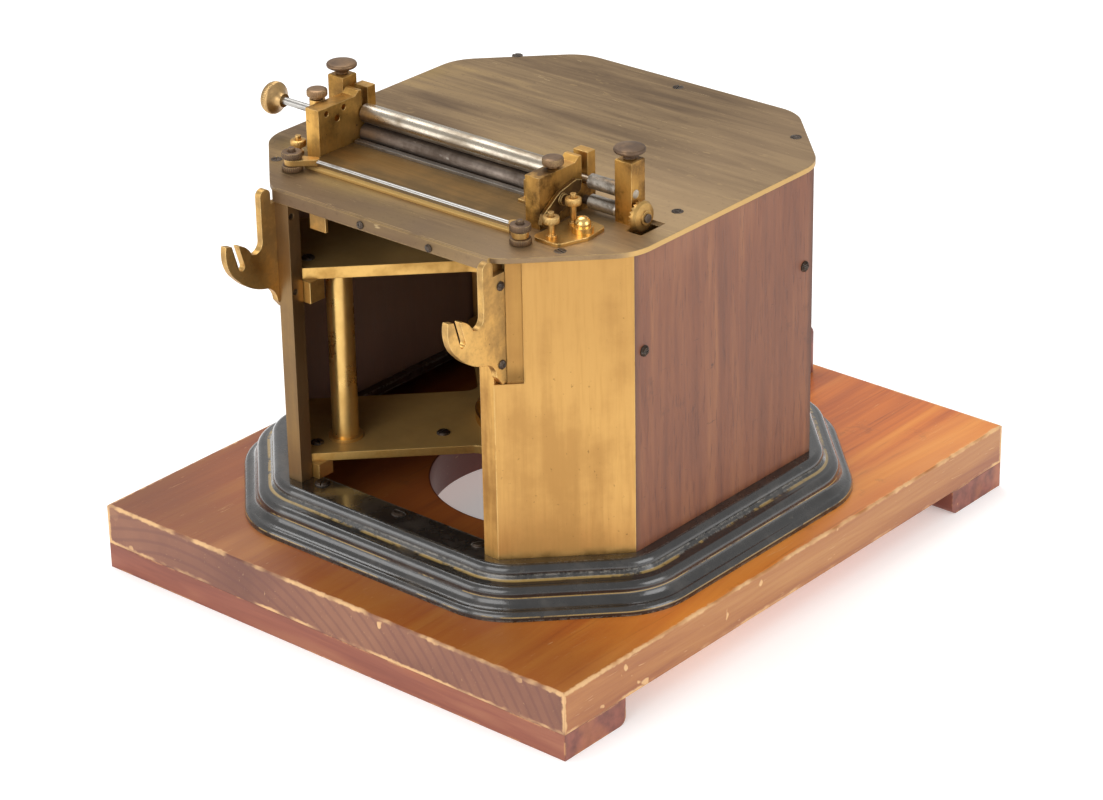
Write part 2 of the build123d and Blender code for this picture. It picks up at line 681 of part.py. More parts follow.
with BuildPart() as right_base_plate:
    with BuildSketch(Plane.XY.offset(deck_top)):
        with BuildLine():
            FilletPolyline((81.0, -117.0), (99.5, -117.0), (106.0, -99.0), (104.0, -82.0), (81.0, -79.0),
                           radius=4, close=True)
        make_face()
    extrude(amount=2.0)
save(right_base_plate, "right_base_plate")

with BuildPart() as domed_nut:
    upright(6.0, 98.5, -95.0, deck_top + 2.0, 3.6)
    upright(4.6, 98.5, -95.0, deck_top + 5.6, 1.8)
    with BuildSketch(Plane.XZ.offset(95.0)):
        with BuildLine():
            z = deck_top + 7.4
            Line((98.5, z), (103.1, z))
            ThreePointArc((103.1, z), (101.8, z + 2.4), (99.5, z + 3.5))
            Polyline((99.5, z + 3.5), (98.5, z + 3.5), (98.5, z))
        make_face()
    revolve(axis=Axis((98.5, -95.0, 0), (0, 0, 1)))
    saw_slot(Plane((98.5, -95.0, deck_top + 10.9)), 4.0, turn=20)
save(domed_nut, "domed_nut")

binding_at = (("front_binding", 90.0, -111.0, 2.0, 8.0), ("rear_binding", 87.5, -89.5, 2.0, 11.0),
              ("left_binding", -105.0, -103.0, 0.0, 4.0))
with BuildPart() as binding_studs:
    for name, x, y, seat, gap in binding_at:
        upright(1.7, x, y, deck_top + seat, gap + 6.5)
        upright(3.0, x, y, deck_top + seat, 1.5)
save(binding_studs, "binding_studs")

for name, x, y, seat, gap in binding_at:
    with BuildPart() as nut:
        upright(4.6, x, y, deck_top + seat + gap, 4.2)
        chamfer(nut.edges(), 0.6)
        bore_z(1.7 + running, x, y, deck_top + seat + gap, deck_top + seat + gap + 4.2)
    save(nut, f"{name}_nut")

# ---------------------------------------------------------------- fittings under the deck and behind
with BuildPart() as deck_bracket:
    block(-62.0, -40.0, -140.0, -124.0, deck_bottom - 2.0, deck_bottom)
    block(-62.0, -50.0, -140.0, -138.0, deck_bottom - 20.0, deck_bottom - 2.0)
    for x, y in ((-44.5, -132.0), (-56.0, -130.0)):
        upright(2.2, x, y, deck_bottom - 3.2, 1.2)
save(deck_bracket, "deck_bracket")

with BuildPart() as deck_bushes:
    for x, y, drop in ((12.0, -130.0, 7.0), (60.0, -131.0, 11.0)):
        upright(9.5, x, y, deck_bottom - 3.0, 3.0)
        upright(4.2, x, y, deck_bottom - drop, drop - 3.0)
        upright(2.6, x, y, deck_bottom - drop - 1.6, 1.6)
save(deck_bushes, "deck_bushes")

peg_x, peg_y = 34.5, 193.5                   # a wooden peg behind the case
peg_r = 6.0
with BuildPart() as rear_peg:
    upright(peg_r, peg_x, peg_y, board_top, 31.0)
    fillet(rear_peg.edges().group_by(Axis.Z)[-1], 4.5)
save(rear_peg, "rear_peg")
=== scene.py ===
import math

import bmesh
import bpy
from mathutils import Matrix, Vector


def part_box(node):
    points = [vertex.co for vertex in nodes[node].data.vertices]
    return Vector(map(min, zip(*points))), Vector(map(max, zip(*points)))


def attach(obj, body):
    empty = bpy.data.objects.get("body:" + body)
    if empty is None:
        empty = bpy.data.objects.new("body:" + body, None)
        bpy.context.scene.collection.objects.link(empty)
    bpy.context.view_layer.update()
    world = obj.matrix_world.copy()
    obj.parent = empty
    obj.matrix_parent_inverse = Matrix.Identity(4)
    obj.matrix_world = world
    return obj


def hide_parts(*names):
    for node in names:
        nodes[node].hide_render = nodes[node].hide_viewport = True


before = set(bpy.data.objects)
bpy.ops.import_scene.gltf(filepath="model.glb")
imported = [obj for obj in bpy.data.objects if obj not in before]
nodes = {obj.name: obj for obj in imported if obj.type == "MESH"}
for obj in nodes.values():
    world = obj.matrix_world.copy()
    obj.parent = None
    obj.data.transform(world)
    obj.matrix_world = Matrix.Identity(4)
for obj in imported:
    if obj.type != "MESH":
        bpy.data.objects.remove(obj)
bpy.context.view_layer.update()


# ---------------------------------------------------------------- the board
# One wide softwood board with a round hole under the case, its grain running from front to back.
# The top has an orange varnish that has darkened in streaks and rubbed off along the edges; the
# sawn ends are darker and show the growth rings, and the hole's wall is stained dark red.
class Wire:
    """An output of a node. Arithmetic on it adds Math nodes to its finish."""

    def __init__(self, finish, socket):
        self.finish = finish
        self.socket = socket

    def math(self, operation, *values):
        return self.finish.node("ShaderNodeMath", {"operation": operation}, dict(enumerate(values)))

    def __add__(self, other):
        return self.math("ADD", self, other)

    def __sub__(self, other):
        return self.math("SUBTRACT", self, other)

    def __mul__(self, other):
        return self.math("MULTIPLY", self, other)

    def __radd__(self, other):
        return self.math("ADD", other, self)

    def __rsub__(self, other):
        return self.math("SUBTRACT", other, self)

    def __rmul__(self, other):
        return self.math("MULTIPLY", other, self)

    def size(self):
        return self.math("ABSOLUTE", self)

    def wave(self):
        return self.math("SINE", self)

    def at_most(self, other):
        return self.math("MINIMUM", self, other)

    def at_least(self, other):
        return self.math("MAXIMUM", self, other)

    def rise(self, start, end):
        """0 below start, 1 above end, and smooth between them. With end below start it falls."""
        if end < start:
            return 1 - self.rise(end, start)
        return self.finish.node("ShaderNodeMapRange", {"interpolation_type": "SMOOTHSTEP"},
                                {"Value": self, "From Min": start, "From Max": end})


def srgb(red, green, blue):
    """A colour given as 0 to 255 on a screen, as Blender's linear one."""
    return tuple((part / 255) ** 2.2 for part in (red, green, blue))


class Finish:
    """A material of one Principled shader. Every other node comes from the node method."""

    def __init__(self, name, **fixed):
        self.material = bpy.data.materials.new(name)
        self.material.use_nodes = True
        self.tree = self.material.node_tree
        self.shader = self.tree.nodes["Principled BSDF"]
        self.feed(self.shader, {socket.replace("_", " "): value for socket, value in fixed.items()})
        place = self.node("ShaderNodeTexCoord", out="Object")
        self.place = place
        self.x, self.y, self.z = (self.node("ShaderNodeSeparateXYZ", {}, {0: place}, out) for out in range(3))

    def feed(self, node, sockets):
        for name, value in sockets.items():
            socket = node.inputs[name]
            if isinstance(value, Wire):
                self.tree.links.new(value.socket, socket)
            elif isinstance(value, tuple) and socket.type == "RGBA":
                socket.default_value = (*value, 1)
            else:
                socket.default_value = value

    def node(self, kind, settings={}, sockets={}, out=0):
        made = self.tree.nodes.new(kind)
        for name, value in settings.items():
            if name == "stops":
                elements = made.color_ramp.elements
                for stop, colour in value[1:-1]:
                    elements.new(stop)
                for element, (stop, colour) in zip(elements, value):
                    element.position = stop
                    element.color = (*colour, 1)
            else:
                setattr(made, name, value)
        self.feed(made, sockets)
        return Wire(self, made.outputs[out])

    def stretch(self, x, y, z, shift=0.0):
        """The object's coordinates, scaled on each axis."""
        return self.node("ShaderNodeMapping", {}, {"Vector": self.place, "Scale": (x, y, z),
                                                   "Location": (shift, shift * 0.7, shift * 1.3)})

    def noise(self, scale, detail=4.0, rough=0.55, where=None, warp=0.0):
        return self.node("ShaderNodeTexNoise", {}, {"Vector": where or self.place, "Scale": scale,
                                                    "Detail": detail, "Roughness": rough, "Distortion": warp})

    def mix(self, amount, first, second, blend="MIX"):
        """Colour first where amount is 0, second where it is 1."""
        return self.node("ShaderNodeMix", {"data_type": "RGBA", "blend_type": blend},
                         {0: amount, 6: first, 7: second}, out=2)

    def ramp(self, value, *stops):
        return self.node("ShaderNodeValToRGB", {"stops": stops}, {0: value})

    def edges(self, radius, start=0.01, end=0.2):
        """1 on sharp edges and 0 on flat faces, from the difference of a rounded normal."""
        rounded = self.node("ShaderNodeBevel", {"samples": 4}, {"Radius": radius})
        true = self.node("ShaderNodeNewGeometry", {}, {}, "Normal")
        same = self.node("ShaderNodeVectorMath", {"operation": "DOT_PRODUCT"}, {0: rounded, 1: true}, "Value")
        return (1 - same).rise(start, end)

    def facing(self, axis, start=0.4, end=0.7):
        """1 where the surface faces along an axis, either way."""
        normal = self.node("ShaderNodeNewGeometry", {}, {}, "Normal")
        part = self.node("ShaderNodeSeparateXYZ", {}, {0: normal}, axis)
        return part.size().rise(start, end)

    def relief(self, height, distance, strength=1.0, soften=0.0):
        """Bumps on the surface, and a rounded look on sharp edges where soften is a radius."""
        sockets = {"Height": height, "Distance": distance, "Strength": strength}
        if soften:
            sockets["Normal"] = self.node("ShaderNodeBevel", {"samples": 4}, {"Radius": soften})
        self.feed(self.shader, {"Normal": self.node("ShaderNodeBump", {}, sockets)})

    def on(self, *names):
        """Puts this finish on CAD nodes."""
        for name in names:
            for slot in nodes[name].material_slots:
                slot.material = self.material


def board_finish():
    low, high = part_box("baseboard")
    f = Finish("orange varnished board", Coat_Roughness=0.25)
    drift = f.noise(3.0, 3, where=f.stretch(1.0, 0.25, 1.0))
    grain = f.noise(1.0, 8, 0.62, f.stretch(230, 9, 230), 0.6)
    figure = f.noise(1.0, 5, 0.6, f.stretch(26, 2.2, 26), 1.6)
    top = f.ramp(figure * 0.55 + drift * 0.45, (0.32, srgb(162, 74, 30)), (0.46, srgb(206, 112, 40)),
                 (0.56, srgb(222, 136, 52)), (0.70, srgb(232, 158, 78)))
    left = (f.x - f.y * 0.35).rise(0.02, -0.21)
    top = f.mix(left * 0.9, top, srgb(92, 48, 28))
    front = f.y.rise(-0.08, -0.19)
    top = f.mix(front * 0.7, top, srgb(98, 54, 28))
    top = f.mix(grain.rise(0.56, 0.72) * 0.45, top, srgb(120, 52, 22))
    stain = f.noise(22, 6, 0.7).rise(0.60, 0.74)
    top = f.mix(stain * 0.45, top, srgb(108, 60, 36))
    pale = f.noise(1.0, 3, 0.5, f.stretch(14, 3, 14, 4)).rise(0.55, 0.75)
    top = f.mix(pale * 0.35, top, srgb(230, 166, 96))

    ring_centre = f.node("ShaderNodeCombineXYZ", {}, {0: f.x + 0.11, 1: 0.0, 2: f.z + 0.13})
    reach = f.node("ShaderNodeVectorMath", {"operation": "LENGTH"}, {0: ring_centre}, "Value")
    rings = (reach * 900 + f.noise(30, 3) * 3).wave()
    end = f.ramp(f.noise(9, 5, 0.6), (0.3, srgb(104, 62, 46)), (0.5, srgb(125, 79, 58)),
                 (0.7, srgb(142, 95, 68)))
    end = f.mix(rings.rise(0.2, 1.0) * 0.35, end, srgb(94, 50, 44))
    side = f.ramp(figure * 0.6 + grain * 0.4, (0.35, srgb(142, 78, 36)), (0.52, srgb(166, 106, 52)),
                  (0.68, srgb(182, 128, 70)))
    colour = f.mix(f.facing(1), top, end)
    colour = f.mix(f.facing(0), colour, side)

    plate_low, plate_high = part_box("lower_cross_plate")
    case_y = (plate_low.y + plate_high.y) / 2
    hole = 0.069
    middle = f.node("ShaderNodeCombineXYZ", {}, {0: f.x, 1: f.y - case_y, 2: 0.0})
    from_middle = f.node("ShaderNodeVectorMath", {"operation": "LENGTH"}, {0: middle}, "Value")
    colour = f.mix(from_middle.rise(0.135, 0.115) * 0.5, colour, srgb(128, 80, 58))
    colour = f.mix(from_middle.rise(hole + 0.0010, hole + 0.0005) * 0.9, colour, srgb(112, 46, 34))

    depth = (f.x.size() - high.x).size()
    across = (f.y.size() - high.y).size()
    down = (f.z - high.z).size()
    under = (f.z - low.z).size()
    near = (depth + across).at_most(depth + down).at_most(across + down)
    near = near.at_most(depth + under).at_most(across + under)
    ragged = f.noise(150, 5, 0.7) * 0.0045
    worn = (near - ragged).rise(0.0, -0.0014) * f.noise(24, 3).rise(0.42, 0.56)
    chips = f.noise(70, 2, 0.5).rise(0.70, 0.73) * f.noise(8, 2).rise(0.5, 0.6)
    chips = chips * (down.rise(0.0005, 0.001))
    scratches = f.noise(1.0, 2, 0.5, f.stretch(700, 40, 300, 2), 2.0).rise(0.71, 0.74)
    bare = worn.at_least(chips).at_least(scratches * 0.5)
    colour = f.mix(bare * 0.85, colour, srgb(226, 182, 130))
    f.feed(f.shader, {"Base Color": colour, "Roughness": 0.36 + bare * 0.3 + f.facing(1) * 0.2,
                      "Coat Weight": (1 - bare) * 0.22})
    f.relief(grain * 0.5 + bare * -0.8 + f.noise(400, 2) * 0.2, 0.0004, 0.7, 0.0012)
    return f


board_finish().on("baseboard")


# ---------------------------------------------------------------- the cleats and the peg
# Two battens of reddish wood are screwed across the board's underside, front and rear, to lift it
# off the table. Behind the case a short peg with a rounded top stands up from the board.
def cleat_finish():
    f = Finish("red-brown cleat wood", Coat_Roughness=0.3, Coat_Weight=0.15)
    grain = f.noise(1.0, 7, 0.6, f.stretch(8, 180, 180), 0.5)
    figure = f.noise(1.0, 4, 0.6, f.stretch(4, 40, 40, 3), 1.0)
    long = f.ramp(figure * 0.6 + grain * 0.4, (0.36, srgb(112, 55, 40)), (0.5, srgb(134, 73, 53)),
                  (0.64, srgb(152, 94, 66)))
    end = f.ramp(f.noise(120, 5, 0.6), (0.35, srgb(102, 55, 46)), (0.62, srgb(138, 79, 64)))
    colour = f.mix(f.facing(0), long, end)
    orange = f.noise(1.0, 3, 0.5, f.stretch(9, 30, 30, 5)).rise(0.52, 0.66)
    colour = f.mix(orange * 0.35, colour, srgb(190, 116, 70))
    chipped = f.edges(0.002, 0.02, 0.12) * f.noise(55, 4, 0.7).rise(0.48, 0.58)
    flecks = f.noise(1.0, 2, 0.5, f.stretch(60, 130, 130)).rise(0.70, 0.73)
    bare = chipped.at_least(flecks * f.noise(11, 2).rise(0.5, 0.6))
    colour = f.mix(bare * 0.8, colour, srgb(216, 160, 104))
    f.feed(f.shader, {"Base Color": colour, "Roughness": 0.5 + bare * 0.2})
    f.relief(grain * 0.6 - bare, 0.0004, 0.7, 0.0012)
    return f


cleat_finish().on("front_cleat", "rear_cleat", "rear_peg")


# ---------------------------------------------------------------- the cast iron base
# One moulded iron casting goes round under the panels. It is japanned black and striped with thin
# gold lines in its steps; the japan has rubbed through to grey iron along the ridges, and this grey is also a
# painted highlight for their gloss.
def japan_finish():
    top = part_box("base_moulding")[1].z
    stripe_drops = (0.0074, 0.0143, 0.0222)
    f = Finish("black japan", Coat_Roughness=0.12)
    mottle = f.noise(45, 6, 0.65)
    colour = f.ramp(mottle, (0.35, srgb(26, 25, 24)), (0.55, srgb(40, 38, 36)), (0.72, srgb(66, 62, 58)))
    ridge = f.edges(0.0022, 0.012, 0.06)
    speckle = f.noise(420, 3, 0.7)
    side = f.noise(7, 3).rise(0.38, 0.62)
    # Worn grey iron along the ridges, laid on broadly enough that it is also a painted highlight of the gloss
    # there.
    worn = ridge * (speckle * 0.5 + f.noise(60, 4, 0.7) * 0.5).rise(0.44, 0.56) * (side * 0.6 + 0.4)
    colour = f.mix(worn * 0.75, colour, srgb(176, 170, 160))
    stripes = 0.0
    for drop in stripe_drops:
        off = (f.z - (top - drop) + f.noise(20, 2) * 0.0003).size()
        stripes = off.rise(0.00045, 0.0002).at_least(stripes)
    stripes = stripes * f.noise(38, 5, 0.7).rise(0.40, 0.50)
    colour = f.mix(stripes * 0.7, colour, srgb(176, 146, 84))
    dust = f.noise(160, 4, 0.7).rise(0.60, 0.78) * 0.25
    colour = f.mix(dust, colour, srgb(120, 112, 100))
    f.feed(f.shader, {"Base Color": colour, "Roughness": 0.20 + mottle * 0.14 + worn * 0.15,
                      "Metallic": worn * 0.5, "Coat Weight": 0.9 - worn * 0.6})
    f.relief(mottle * 0.8 + speckle * 0.3 - worn * 0.4, 0.0005, 0.6, 0.0009)
    return f


japan_finish().on("base_moulding")


# ---------------------------------------------------------------- brass posts and corner panels
# The case's corners are sheets of hard brass, brushed upright, lacquered once and now pitted, over
# square posts. Each front sheet has painted shade in the recess beside its hook bracket, darkest at its foot.
def brass(name, bright, tarnish, grain, tone=0.4, rough=0.28, rub=0.6, pits=0.5, radius=0.0007):
    """Brass with a brushed grain. Tone is the share that is tarnished, rub how bright its edges are."""
    f = Finish(name)
    streak = f.noise(1.0, 5, 0.6, f.stretch(*grain))
    cloud = f.noise(16, 6, 0.62) * 0.6 + streak * 0.4
    middle = 0.66 - tone * 0.32
    dull = cloud.rise(middle - 0.10, middle + 0.10)
    colour = f.mix(dull, bright, tarnish)
    fine = f.noise(1.0, 3, 0.6, f.stretch(*[part * 6 for part in grain]))
    colour = f.mix(fine.rise(0.45, 0.75) * 0.35, colour, tarnish)
    spots = (f.noise(330, 3, 0.6).rise(0.685, 0.72) * f.noise(14, 3).rise(0.42, 0.6)) * pits
    colour = f.mix(spots, colour, srgb(62, 44, 26))
    rubbed = f.edges(radius, 0.02, 0.2) * f.noise(90, 3, 0.6).rise(0.34, 0.52) * rub
    f.colour = f.mix(rubbed, colour, srgb(240, 204, 136))
    f.rough = rough + dull * 0.16 + fine * 0.08 - rubbed * 0.1
    f.feed(f.shader, {"Base Color": f.colour, "Roughness": f.rough, "Metallic": 1 - dull * 0.25})
    f.relief(fine * 0.5 + streak * 0.3 - spots, 0.00012, 0.5, radius * 0.7)
    return f


def panel_brass():
    low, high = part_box("right_corner_panel")
    f = brass("brushed panel brass", srgb(212, 166, 100), srgb(188, 143, 82), (90, 90, 5), 0.42, 0.34)
    recess_width = 0.012
    recess_foot = low.z + 0.1066
    window = (f.x.size() - low.x - recess_width + f.noise(60, 3) * 0.001).rise(0.0010, -0.0005)
    foot = f.z - recess_foot
    # Painted shade: the recess is darkened, and its foot (rim) more, as a painted shadow.
    behind = window * foot.rise(-0.001, 0.002) * f.y.rise(0.0, -0.02)
    rim = behind * foot.rise(0.012, 0.003)
    colour = f.mix(f.z.rise(low.z + 0.02, high.z) * 0.45, f.colour, srgb(164, 122, 70))
    colour = f.mix(behind * 0.3, colour, srgb(150, 108, 52))
    colour = f.mix(rim * 0.55, colour, srgb(78, 54, 28))
    hem = f.z.rise(low.z + 0.006, low.z) * f.noise(70, 4).rise(0.35, 0.6)
    colour = f.mix(hem * 0.6, colour, srgb(120, 86, 44))
    f.feed(f.shader, {"Base Color": colour})
    return f


panel_brass().on("left_corner_panel", "right_corner_panel", "rear_corner_panels")
post = brass("post brass", srgb(206, 160, 92), srgb(150, 108, 56), (120, 120, 8), 0.5)
# Painted shade: the posts on the left are darkened.
left_post_shade = post.mix(post.x.rise(0.0, -0.05) * 0.8, post.colour, srgb(112, 92, 68))
post.feed(post.shader, {"Base Color": left_post_shade})
post.on("corner_posts")


# ---------------------------------------------------------------- mahogany panels
# Three plain mahogany boards close the sides and the back. Their grain runs upright, with short
# dark pores and a dull oiled face, painted shade in the corners against the brass, and painted light on the
# upper part.
def mahogany():
    low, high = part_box("right_side_panel")
    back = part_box("back_panel")
    f = Finish("oiled mahogany", Coat_Weight=0.12, Coat_Roughness=0.35)
    figure = f.noise(1.0, 5, 0.6, f.stretch(30, 30, 3.2), 1.2)
    grain = f.noise(1.0, 7, 0.62, f.stretch(190, 190, 12), 0.4)
    pores = f.noise(1.0, 2, 0.5, f.stretch(900, 900, 70)).rise(0.58, 0.70)
    colour = f.ramp(figure * 0.55 + grain * 0.45, (0.34, srgb(102, 60, 40)), (0.47, srgb(120, 72, 48)),
                    (0.56, srgb(131, 82, 54)), (0.68, srgb(146, 96, 62)))
    colour = f.mix(pores * 0.45, colour, srgb(84, 48, 38))
    marks = f.noise(26, 5, 0.7).rise(0.62, 0.74) * 0.5
    scores = f.noise(1.0, 2, 0.5, f.stretch(90, 90, 420, 6), 1.5).rise(0.72, 0.75)
    colour = f.mix(marks.at_least(scores * 0.6), colour, srgb(66, 42, 36))
    # Painted light: patches on the upper part of each panel are lightened.
    painted_top_light = f.z.rise(low.z + 0.12, high.z) * f.noise(9, 3).rise(0.4, 0.65)
    colour = f.mix(painted_top_light * 0.3, colour, srgb(166, 118, 88))
    border = (high.y + 0.004 - f.y).at_most(f.y - low.y + 0.004)
    inner = f.x.size().rise(low.x + 0.0015, low.x + 0.0005) * f.y.rise(back[0].y + 0.0015, back[0].y + 0.0005)
    colour = f.mix(inner * 0.8, colour, srgb(128, 104, 90))
    # Painted shade: the outer faces darken towards their edges, in the corners against the brass.
    corner_shade = border.rise(0.010, 0.003) * 0.6
    colour = f.mix(corner_shade * f.facing(0), colour, srgb(60, 40, 32))
    f.feed(f.shader, {"Base Color": colour, "Roughness": 0.46 + grain * 0.12})
    f.relief(grain * 0.6 - pores * 0.7, 0.0003, 0.6, 0.0006)
    return f


mahogany().on("left_side_panel", "right_side_panel", "back_panel")


# ---------------------------------------------------------------- screws
# The screws are of browned steel, with a slot sawn across each head. Those of the deck are sunk
# flush in the brass; those of the panels and brackets stand proud.
def steel(name, bright, stain, amount, rough, grain=(200, 200, 200), radius=0.0004, rub=0.5):
    """Steel with a worn grain. Amount is the share that is stained."""
    f = Finish(name, Metallic=1.0)
    cloud = f.noise(60, 5, 0.65) * 0.5 + f.noise(1.0, 5, 0.6, f.stretch(*grain)) * 0.5
    middle = 0.68 - amount * 0.36
    dirty = cloud.rise(middle - 0.12, middle + 0.12)
    colour = f.mix(dirty, bright, stain)
    rubbed = f.edges(radius, 0.02, 0.2) * rub
    f.colour = f.mix(rubbed, colour, srgb(206, 200, 192))
    f.feed(f.shader, {"Base Color": f.colour, "Roughness": rough + dirty * 0.2})
    f.relief(cloud, 0.0001, 0.5, radius * 0.7)
    return f


browned = steel("browned screw steel", srgb(110, 98, 88), srgb(62, 52, 45), 0.6, 0.40)
browned.on("cleat_screws", "base_screws", "case_screws", "deck_screws", "plate_screws")


# ---------------------------------------------------------------- cross plates, pillars and ring
# Two thick brass plates in the shape of a cross carry the mechanism. Their edges are filed bright,
# and their faces have gone brown. Turned and polished pillars hold them apart, and the domed nut
# on the deck has the same polish.
def plate_brass():
    f = brass("cross plate brass", srgb(222, 178, 104), srgb(176, 132, 68), (40, 40, 40), 0.4, 0.3,
              radius=0.0009)
    smoke = f.noise(9, 5, 0.6).rise(0.3, 0.7)
    face = f.mix(smoke, srgb(184, 148, 88), srgb(138, 112, 70))
    face = f.mix(f.noise(300, 4, 0.7).rise(0.62, 0.72) * 0.4, face, srgb(168, 134, 78))
    flat = f.facing(2)
    f.feed(f.shader, {"Base Color": f.mix(flat * 0.9, f.colour, face), "Roughness": f.rough + flat * 0.12,
                      "Metallic": 0.9 - flat * 0.5})
    return f


plate_brass().on("lower_cross_plate", "upper_cross_plate", "corner_blocks")
polished = brass("polished pillar brass", srgb(236, 196, 122), srgb(200, 156, 86), (30, 30, 8), 0.3, 0.2,
                 rub=0.1, pits=0.0, radius=0.0003)
polished.on("pillars", "bearing_ring", "domed_nut")


# ---------------------------------------------------------------- deck and cover
# The eight-sided top is two brass plates that meet just behind the rollers. They have gone an uneven
# olive brown, in streaks that follow the rolled sheet, and the sawn edges are rubbed bright; painted sheen
# lightens the right, and the side edges carry a painted highlight.
def deck_finish():
    f = Finish("tarnished deck brass")
    streak = f.noise(1.0, 7, 0.62, f.stretch(7, 95, 95), 0.8)
    broad = f.noise(1.0, 4, 0.55, f.stretch(5, 16, 16, 4), 1.0)
    speck = f.noise(380, 4, 0.7)
    tone = streak * 0.55 + broad * 0.45
    colour = f.ramp(tone, (0.33, srgb(90, 72, 54)), (0.44, srgb(118, 96, 70)), (0.54, srgb(140, 116, 84)),
                    (0.66, srgb(166, 138, 94)))
    # Painted sheen: a lighter patch on the deck right of the rollers.
    near = f.y.rise(0.02, -0.03) * f.y.rise(-0.075, -0.06) * f.x.rise(-0.08, 0.0)
    colour = f.mix(near * 0.45, colour, srgb(188, 158, 116))
    olive = f.noise(1.0, 3, 0.5, f.stretch(9, 12, 12, 9)).rise(0.48, 0.66) * (f.x + f.y).rise(0.06, -0.12)
    colour = f.mix(olive * 0.55, colour, srgb(166, 138, 74))
    front = f.y.rise(-0.118, -0.136)
    colour = f.mix(front * 0.7, colour, srgb(106, 86, 68))
    colour = f.mix(speck.rise(0.56, 0.70) * 0.35, colour, srgb(84, 66, 50))
    flecks = f.noise(1.0, 3, 0.6, f.stretch(90, 260, 200)).rise(0.62, 0.70) * f.noise(10, 2).rise(0.45, 0.6)
    colour = f.mix(flecks * 0.35, colour, srgb(190, 160, 110))
    scores = f.noise(1.0, 2, 0.5, f.stretch(30, 700, 60, 3), 2.2).rise(0.72, 0.745)
    colour = f.mix(scores * 0.5, colour, srgb(210, 184, 136))
    # Painted sheen: the deck is lightened towards the right.
    colour = f.mix(f.x.rise(0.02, 0.10) * 0.3, colour, srgb(178, 150, 116))
    # Painted highlight: the edge faces that face along X are made bright.
    side_highlight = f.facing(0, 0.8, 0.95)
    colour = f.mix(side_highlight * 0.85, colour, srgb(206, 168, 106))
    rubbed = f.edges(0.0009, 0.02, 0.15) * f.noise(70, 4, 0.6).rise(0.36, 0.52)
    colour = f.mix(rubbed * 0.6, colour, srgb(206, 172, 112))
    f.feed(f.shader, {"Base Color": colour, "Roughness": 0.40 + (1 - tone) * 0.22 - rubbed * 0.1,
                      "Metallic": 0.78})
    f.relief(streak * 0.5 + speck * 0.4 - scores * 0.3, 0.00018, 0.6, 0.0006)
    return f


deck_finish().on("front_deck", "rear_cover", "front_fascia")


# ---------------------------------------------------------------- hook brackets and brass fittings
# The fittings are sawn and filed from brass plate and turned from brass bar. They are brown in the
# hollows and bright where hands and screws rub them.
fitting = brass("filed fitting brass", srgb(216, 172, 102), srgb(152, 120, 74), (70, 70, 70), 0.46, 0.30,
                rub=0.8, radius=0.0009)
fitting.on("left_hook_bracket", "right_hook_bracket", "rod_arms", "right_base_plate", "binding_studs",
           "clamp_post", "deck_bracket", "guide_tab")
upright = brass("upright plate brass", srgb(212, 164, 88), srgb(152, 112, 58), (60, 60, 16), 0.44, 0.32,
                rub=0.8, pits=0.9)
soot = upright.noise(34, 6, 0.68).rise(0.46, 0.62) * (upright.x.rise(-0.06, 0.05) * 0.45 + 0.45)
stained = upright.mix(soot, upright.colour, srgb(84, 60, 34))
upright.feed(upright.shader, {"Base Color": stained})
upright.on("left_side_frame", "right_side_frame", "left_square_post", "right_square_post")


# ---------------------------------------------------------------- paper table, guide strip and rod
# The paper slides over a flat brass table and under a thin polished rod at its front edge. A steel
# strip guides it into the rollers.
def table_finish():
    lip_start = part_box("paper_table")[0].y + 0.0022
    f = brass("paper table brass", srgb(148, 114, 68), srgb(102, 80, 48), (5, 110, 110), 0.62, 0.36, 0.8)
    lip = f.y.rise(lip_start, lip_start - 0.0010)
    f.feed(f.shader, {"Base Color": f.mix(lip * 0.7, f.colour, srgb(232, 192, 120))})
    return f


table_finish().on("paper_table")
bright = steel("bright drawn steel", srgb(176, 173, 168), srgb(112, 104, 96), 0.3, 0.32, (9, 260, 260))
bright.on("tension_rod", "guide_strip", "side_spindle", "deck_bushes")


# ---------------------------------------------------------------- rollers
# The upper roller is ground steel, bright and lightly stained along its length. The lower one has
# a dull grey-brown skin, with spots where its surface has worn through. Right of the frame each
# shaft carries a sleeve of oiled steel with a fine thread.
ground = steel("ground roller steel", srgb(190, 180, 164), srgb(136, 122, 104), 0.46, 0.26, (7, 240, 240))
ground.on("upper_roller")


def skin_finish():
    f = steel("dull roller skin", srgb(142, 130, 120), srgb(98, 86, 77), 0.55, 0.42, (16, 150, 150))
    spots = f.noise(1.0, 4, 0.65, f.stretch(70, 160, 160)).rise(0.60, 0.70)
    f.feed(f.shader, {"Base Color": f.mix(spots * 0.6, f.colour, srgb(190, 182, 172))})
    return f


skin_finish().on("lower_roller")


def spun(outline, steps=48, cut=None):
    """A mesh turned round Z from (radius, height) points, all in metres. Cut is (least radius, low,
    high, inward, down): every other row of points within those limits is moved to cut grooves."""
    work = bmesh.new()
    points = [work.verts.new((radius, 0, height)) for radius, height in outline]
    line = [work.edges.new(pair) for pair in zip(points, points[1:])]
    bmesh.ops.spin(work, geom=points + line, axis=(0, 0, 1), cent=(0, 0, 0), steps=steps,
                   angle=2 * math.pi, use_merge=True)
    bmesh.ops.remove_doubles(work, verts=work.verts, dist=1e-7)
    if cut:
        least, low, high, inward, down = cut
        for v in work.verts:
            row = round(math.atan2(v.co.y, v.co.x) * steps / (2 * math.pi))
            radius = v.co.xy.length
            if row % 2 and radius > least and low < v.co.z < high:
                v.co.xy *= (radius - inward) / radius
                v.co.z -= down
    bmesh.ops.recalc_face_normals(work, faces=work.faces)
    return work


